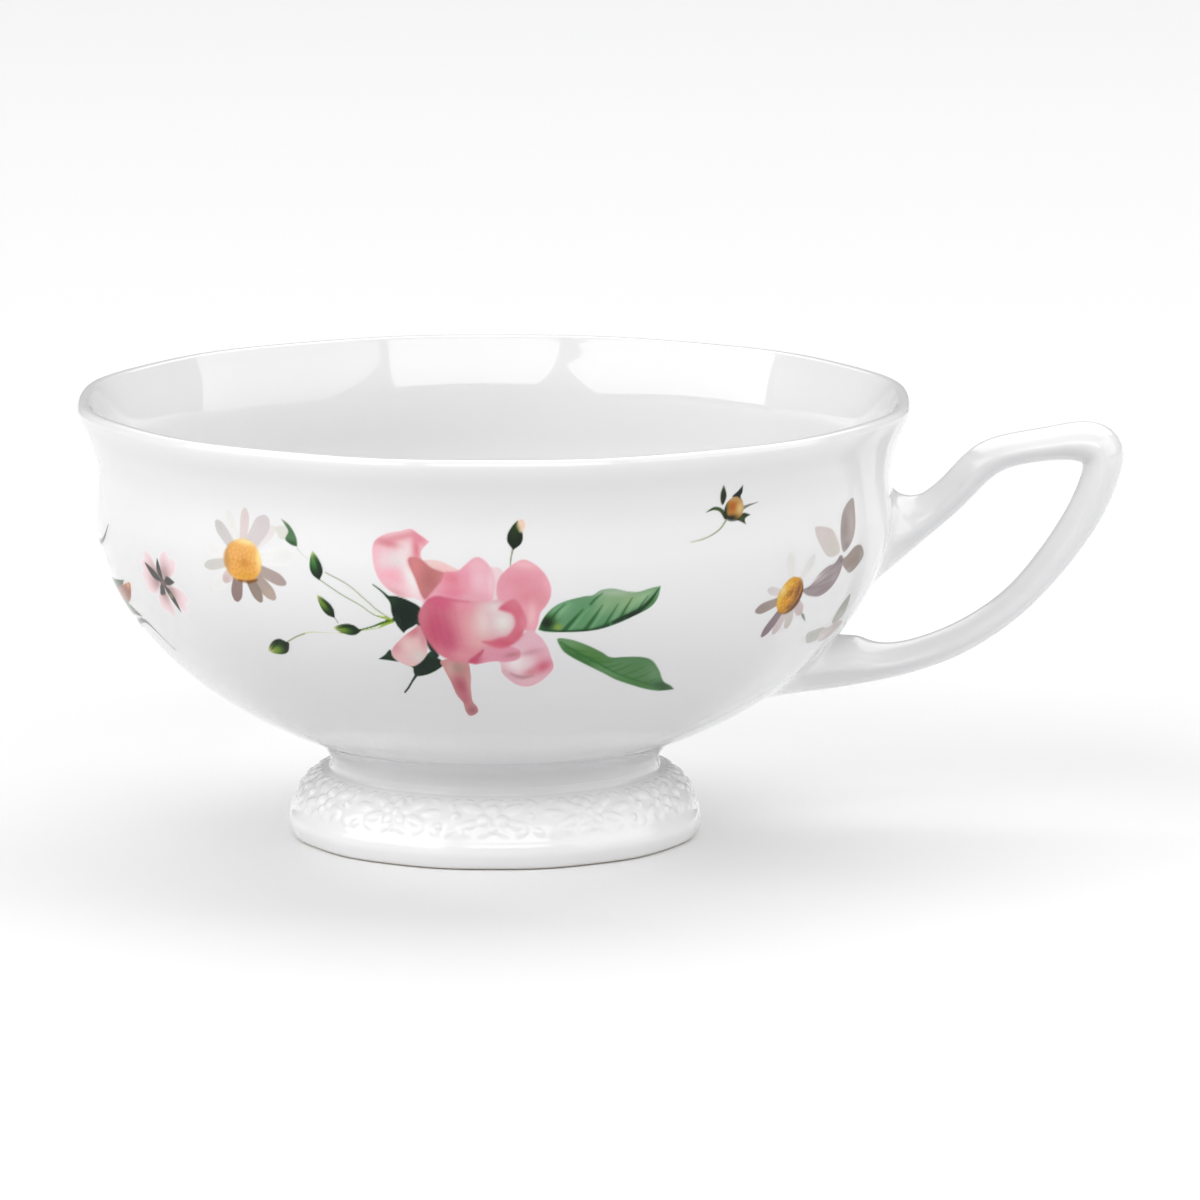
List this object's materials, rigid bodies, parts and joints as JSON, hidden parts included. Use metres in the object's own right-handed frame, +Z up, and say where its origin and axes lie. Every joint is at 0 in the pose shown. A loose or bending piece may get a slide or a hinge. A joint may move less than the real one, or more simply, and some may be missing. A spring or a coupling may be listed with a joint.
{
  "type": "footed teacup",
  "caption": "Footed porcelain teacup with a softly twelve-sided bowl, flared rim, angular strap handle, relief foot and flower transfers.",
  "frame": {"origin": "on the table under the middle of the cup's bounding box, handle included", "axes": "+X towards the handle, +Z up, Y across"},
  "size_m": [0.1322, 0.105, 0.056],
  "materials": {
    "porcelain": "clear gloss glaze over white hard porcelain",
    "rose_print": "in-glaze ceramic print, gloss, pink",
    "petal_print": "in-glaze ceramic print, gloss, pale grey petals with a yellow middle",
    "leaf_print": "in-glaze ceramic print, gloss, leaf green"
  },
  "bodies": {
    "root": {"bowl": "porcelain", "pedestal_foot": "porcelain", "handle": "porcelain", "rose_spray_transfer": "rose_print", "daisy_transfer": "petal_print", "pink_blossom_transfer": "rose_print", "side_spray_transfer": "leaf_print", "green_bud_transfer": "leaf_print", "daisy_sprig_transfer": "petal_print", "back_daisy_transfer": "petal_print", "back_rosebud_transfer": "rose_print", "back_bud_transfer": "leaf_print", "back_blossom_transfer": "rose_print"}
  },
  "joints": []
}
